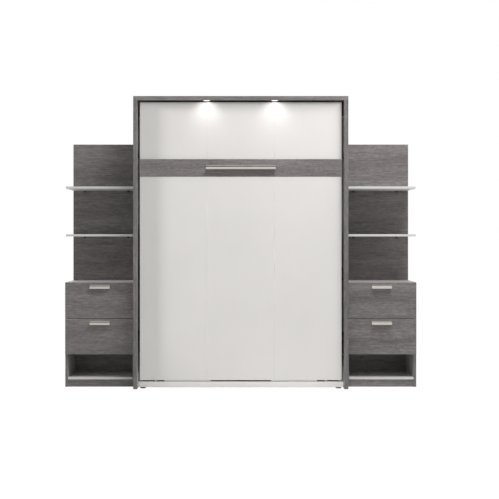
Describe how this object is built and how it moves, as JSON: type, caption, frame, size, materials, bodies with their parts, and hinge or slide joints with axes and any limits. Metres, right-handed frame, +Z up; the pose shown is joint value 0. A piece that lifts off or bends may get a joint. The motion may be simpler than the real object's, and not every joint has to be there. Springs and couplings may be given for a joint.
{
  "type": "vertical wall bed with side shelving units",
  "caption": "Vertical folding wall bed with a white face, grey wood-grain surround, puck lights, and side units with shelves, drawers and open niches.",
  "frame": {"origin": "on the floor, in the middle of the closed bed's width and depth", "axes": "+X to the right seen from the front, +Y from the front to the wall, +Z up"},
  "size_m": [2.4928, 0.555, 2.046],
  "materials": {
    "grey_wood": "satin",
    "white_board": "satin",
    "drawer_white": "matte",
    "satin_nickel": "satin",
    "black_plastic": "matte",
    "black_nylon": "matte",
    "light_lens": "emissive",
    "zinc_steel": "satin",
    "frame_grey": "satin",
    "slat_birch": "satin",
    "mattress_cloth": "matte",
    "leg_black": "satin",
    "support_black": "satin",
    "strut_black": "gloss",
    "strut_chrome": "polished"
  },
  "bodies": {
    "cabinet": {"gable_left": "grey_wood", "gable_right": "grey_wood", "glides": "black_plastic", "headboard_panel": "white_board", "kick_panel": "white_board", "led_housings": "satin_nickel", "led_lenses": "light_lens", "pivot_plates": "zinc_steel", "rear_rails": "white_board", "runner_rails": "zinc_steel", "shelf_supports": "support_black", "strut_anchors": "zinc_steel", "top_panel": "grey_wood", "unit_kicks": "grey_wood", "unit_left_divider": "grey_wood", "unit_left_niche_shelf": "white_board", "unit_left_shelf_lower": "white_board", "unit_left_shelf_upper": "white_board", "unit_left_sides": "grey_wood", "unit_left_top": "grey_wood", "unit_left_tower": "grey_wood", "unit_right_divider": "grey_wood", "unit_right_niche_shelf": "white_board", "unit_right_shelf_lower": "white_board", "unit_right_shelf_upper": "white_board", "unit_right_sides": "grey_wood", "unit_right_top": "grey_wood", "unit_right_tower": "grey_wood"},
    "bed": {"face_panel_left": "white_board", "face_panel_middle": "white_board", "face_panel_right": "white_board", "face_band": "grey_wood", "bed_pull": "satin_nickel", "bed_frame": "frame_grey", "slats": "slat_birch", "mattress": "mattress_cloth", "face_cleats": "white_board", "pivot_bushes": "black_nylon"},
    "left_leg": {"leg_left": "leg_black"},
    "left_strut_cylinder": {"strut_cylinder_left": "strut_black"},
    "left_strut_rod": {"strut_rod_left": "strut_chrome"},
    "left_upper_drawer": {"drawer_left_upper_front": "grey_wood", "drawer_left_upper_box": "drawer_white", "drawer_left_upper_runners": "zinc_steel", "drawer_left_upper_pull": "satin_nickel"},
    "left_lower_drawer": {"drawer_left_lower_front": "grey_wood", "drawer_left_lower_box": "drawer_white", "drawer_left_lower_runners": "zinc_steel", "drawer_left_lower_pull": "satin_nickel"},
    "right_leg": {"leg_right": "leg_black"},
    "right_strut_cylinder": {"strut_cylinder_right": "strut_black"},
    "right_strut_rod": {"strut_rod_right": "strut_chrome"},
    "right_upper_drawer": {"drawer_right_upper_front": "grey_wood", "drawer_right_upper_box": "drawer_white", "drawer_right_upper_runners": "zinc_steel", "drawer_right_upper_pull": "satin_nickel"},
    "right_lower_drawer": {"drawer_right_lower_front": "grey_wood", "drawer_right_lower_box": "drawer_white", "drawer_right_lower_runners": "zinc_steel", "drawer_right_lower_pull": "satin_nickel"}
  },
  "joints": [
    {"name": "bed_open", "type": "hinge", "parent": "cabinet", "child": "bed", "pos_m": [0, -0.1465, 0.326], "axis": [1, 0, 0], "range_deg": [0, 90], "stiffness_Nm_per_rad": 320, "springref_deg": -17.19},
    {"name": "left_leg_swing", "type": "hinge", "parent": "bed", "child": "left_leg", "pos_m": [-0.71255, -0.1905, 1.9], "axis": [1, 0, 0], "range_deg": [-90, 0]},
    {"name": "left_strut_swing", "type": "hinge", "parent": "cabinet", "child": "left_strut_cylinder", "pos_m": [-0.70415, -0.1165, 0.806], "axis": [1, 0, 0], "range_deg": [0, 5.9]},
    {"name": "left_strut_stroke", "type": "slide", "parent": "left_strut_cylinder", "child": "left_strut_rod", "axis": [0, 0.0142, -0.9999], "range_m": [-0.11706, 0]},
    {"name": "right_leg_swing", "type": "hinge", "parent": "bed", "child": "right_leg", "pos_m": [0.71255, -0.1905, 1.9], "axis": [1, 0, 0], "range_deg": [-90, 0]},
    {"name": "right_strut_swing", "type": "hinge", "parent": "cabinet", "child": "right_strut_cylinder", "pos_m": [0.70415, -0.1165, 0.806], "axis": [1, 0, 0], "range_deg": [0, 5.9]},
    {"name": "right_strut_stroke", "type": "slide", "parent": "right_strut_cylinder", "child": "right_strut_rod", "axis": [0, 0.0142, -0.9999], "range_m": [-0.11706, 0]},
    {"name": "left_upper_drawer_slide", "type": "slide", "parent": "cabinet", "child": "left_upper_drawer", "axis": [0, -1, 0], "range_m": [0, 0.25]},
    {"name": "left_lower_drawer_slide", "type": "slide", "parent": "cabinet", "child": "left_lower_drawer", "axis": [0, -1, 0], "range_m": [0, 0.25]},
    {"name": "right_upper_drawer_slide", "type": "slide", "parent": "cabinet", "child": "right_upper_drawer", "axis": [0, -1, 0], "range_m": [0, 0.25]},
    {"name": "right_lower_drawer_slide", "type": "slide", "parent": "cabinet", "child": "right_lower_drawer", "axis": [0, -1, 0], "range_m": [0, 0.25]}
  ],
  "couplings": [
    {"joint": "left_leg_swing", "follows": "bed_open", "ratio": -1},
    {"joint": "left_strut_swing", "follows": "bed_open", "ratio": 0.065492},
    {"joint": "left_strut_stroke", "follows": "bed_open", "m_per_rad": -0.07449},
    {"joint": "right_leg_swing", "follows": "bed_open", "ratio": -1},
    {"joint": "right_strut_swing", "follows": "bed_open", "ratio": 0.065492},
    {"joint": "right_strut_stroke", "follows": "bed_open", "m_per_rad": -0.07449}
  ]
}
